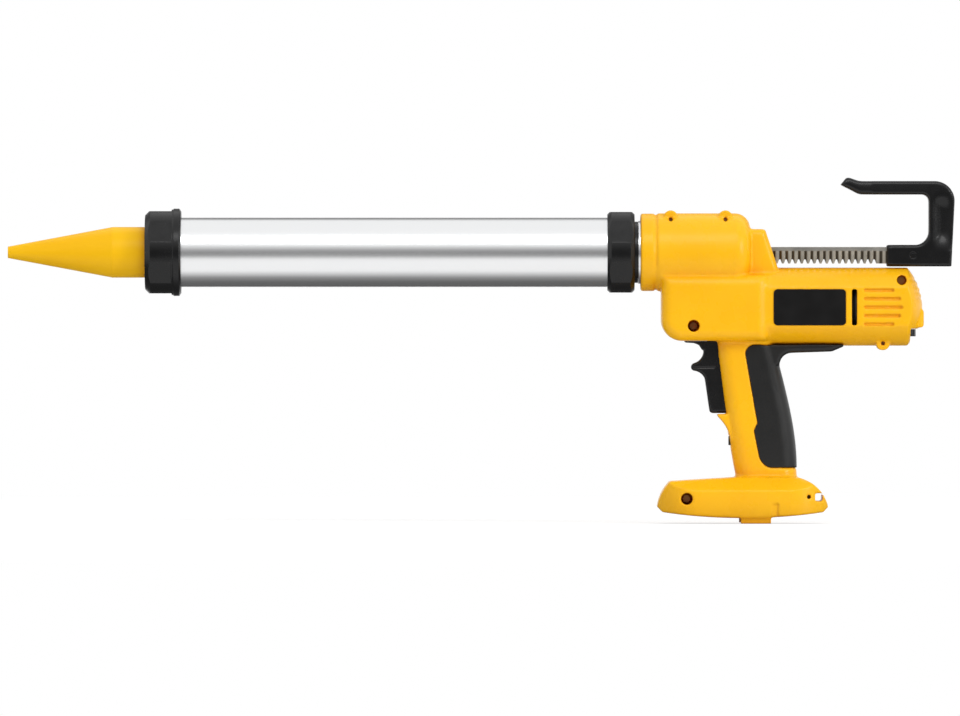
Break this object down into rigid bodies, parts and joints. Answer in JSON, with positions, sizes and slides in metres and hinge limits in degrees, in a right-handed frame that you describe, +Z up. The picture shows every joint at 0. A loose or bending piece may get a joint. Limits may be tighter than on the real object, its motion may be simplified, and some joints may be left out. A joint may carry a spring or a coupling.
{
  "type": "cordless caulking tool",
  "caption": "Cordless caulking tool: a long barrel with a screw cap and tapered nozzle, a motor-driven toothed rack with a pull handle, and a pistol grip with trigger and battery foot.",
  "frame": {"origin": "midway between the two tabs under the battery foot, on the plane the tabs stand on", "axes": "X runs along the barrel with +X from the nozzle to the pull handle, Y across the tool, +Z up from the battery foot to the barrel"},
  "size_m": [0.7099, 0.074, 0.2596],
  "materials": {
    "housing_yellow": "satin moulded",
    "nozzle_yellow": "smooth moulded",
    "black_plastic": "fine texture",
    "grip_rubber": "soft matt",
    "tube_aluminium": "brushed round",
    "rack_steel": "machined",
    "screw_steel": "zinc plated",
    "bush_plastic": "smooth",
    "bush_bronze": "sintered",
    "magnet_ferrite": "matt",
    "inner_plastic": "moulded",
    "contact_brass": "bright"
  },
  "bodies": {
    "housing": {"housing_left": "housing_yellow", "housing_right": "housing_yellow", "side_plate": "black_plastic", "grip_cover_left": "grip_rubber", "grip_cover_right": "grip_rubber", "housing_screws": "screw_steel", "rack_bush_front": "bush_plastic", "rack_bush_rear": "bush_plastic", "barrel_spigot": "tube_aluminium", "retaining_ring": "rack_steel", "pinion_bushes": "bush_bronze", "layshaft_bushes": "bush_bronze", "gear_cover": "tube_aluminium", "carrier_bush": "bush_bronze", "ring_gear": "rack_steel", "motor_can": "rack_steel", "motor_magnets": "magnet_ferrite", "end_bell": "inner_plastic", "motor_brushes": "magnet_ferrite", "motor_bushes": "bush_bronze", "trigger_pin": "rack_steel", "switch_module": "inner_plastic", "speed_control": "inner_plastic", "terminal_block": "inner_plastic", "contact_blades": "contact_brass"},
    "barrel": {"barrel_tube": "tube_aluminium", "barrel_collar": "black_plastic"},
    "front": {"front_cap": "black_plastic", "nozzle": "nozzle_yellow"},
    "rod": {"rack": "rack_steel", "piston": "inner_plastic", "piston_seal": "grip_rubber", "piston_bolt": "screw_steel", "pull_handle": "black_plastic", "handle_pin": "rack_steel"},
    "pinion": {"rack_pinion": "rack_steel", "clutch_plate": "rack_steel"},
    "clutch": {"clutch_gear": "rack_steel"},
    "lay": {"layshaft": "rack_steel", "layshaft_pinion": "rack_steel", "bevel_gear": "rack_steel"},
    "carrier": {"planet_carrier": "rack_steel", "bevel_pinion": "rack_steel"},
    "planet_1": {"planet_gear_1": "rack_steel"},
    "planet_2": {"planet_gear_2": "rack_steel"},
    "planet_3": {"planet_gear_3": "rack_steel"},
    "rotor": {"armature": "rack_steel", "sun_gear": "rack_steel", "cooling_fan": "inner_plastic"},
    "trigger": {"trigger": "black_plastic"},
    "plunger": {"switch_plunger": "inner_plastic"},
    "lock": {"lock_slider": "black_plastic"},
    "dial": {"speed_dial": "black_plastic"}
  },
  "joints": [
    {"name": "rod_slide", "type": "slide", "parent": "housing", "child": "rod", "axis": [1, 0, 0], "range_m": [-0.08, 0.242]},
    {"name": "pinion_spin", "type": "hinge", "parent": "housing", "child": "pinion", "pos_m": [-0.038, 0, 0.1853], "axis": [0, 1, 0], "range_deg": [-440, 1325]},
    {"name": "barrel_spin", "type": "hinge", "parent": "housing", "child": "barrel", "pos_m": [-0.09, 0, 0.203], "axis": [1, 0, 0], "continuous": true},
    {"name": "front_unscrew", "type": "slide", "parent": "barrel", "child": "front", "axis": [-1, 0, 0], "range_m": [0, 0.15]},
    {"name": "rotor_spin", "type": "hinge", "parent": "housing", "child": "rotor", "pos_m": [0.03, 0, 0.16229], "axis": [1, 0, 0], "continuous": true},
    {"name": "carrier_spin", "type": "hinge", "parent": "housing", "child": "carrier", "pos_m": [-0.008, 0, 0.16229], "axis": [1, 0, 0], "continuous": true},
    {"name": "planet_1_spin", "type": "hinge", "parent": "carrier", "child": "planet_1", "pos_m": [0.0017, 0, 0.17429], "axis": [1, 0, 0], "continuous": true},
    {"name": "planet_2_spin", "type": "hinge", "parent": "carrier", "child": "planet_2", "pos_m": [0.0017, -0.01039, 0.15629], "axis": [1, 0, 0], "continuous": true},
    {"name": "planet_3_spin", "type": "hinge", "parent": "carrier", "child": "planet_3", "pos_m": [0.0017, 0.01039, 0.15629], "axis": [1, 0, 0], "continuous": true},
    {"name": "layshaft_spin", "type": "hinge", "parent": "housing", "child": "lay", "pos_m": [-0.02823, 0, 0.16229], "axis": [0, 1, 0], "continuous": true},
    {"name": "clutch_spin", "type": "hinge", "parent": "housing", "child": "clutch", "pos_m": [-0.038, 0.0109, 0.1853], "axis": [0, 1, 0], "continuous": true},
    {"name": "trigger_pull", "type": "hinge", "parent": "housing", "child": "trigger", "pos_m": [-0.031, 0, 0.141], "axis": [0, -1, 0], "range_deg": [0, 7], "stiffness_Nm_per_rad": 2, "springref_deg": -5.73},
    {"name": "plunger_push", "type": "slide", "parent": "housing", "child": "plunger", "axis": [1, 0, 0], "range_m": [0, 0.0046]},
    {"name": "lock_slide", "type": "slide", "parent": "housing", "child": "lock", "axis": [0, 1, 0], "range_m": [-0.0015, 0.0015]},
    {"name": "dial_turn", "type": "hinge", "parent": "housing", "child": "dial", "pos_m": [0.105, 0, 0.14269], "axis": [0, 0, 1], "range_deg": [-135, 135]}
  ],
  "couplings": [
    {"joint": "pinion_spin", "follows": "rod_slide", "rad_per_m": 95.238},
    {"joint": "carrier_spin", "follows": "rotor_spin", "ratio": 0.25},
    {"joint": "planet_1_spin", "follows": "rotor_spin", "ratio": -0.75},
    {"joint": "planet_2_spin", "follows": "rotor_spin", "ratio": -0.75},
    {"joint": "planet_3_spin", "follows": "rotor_spin", "ratio": -0.75},
    {"joint": "layshaft_spin", "follows": "rotor_spin", "ratio": 0.15625},
    {"joint": "clutch_spin", "follows": "rotor_spin", "ratio": -0.087891},
    {"joint": "plunger_push", "follows": "trigger_pull", "m_per_rad": 0.036}
  ]
}
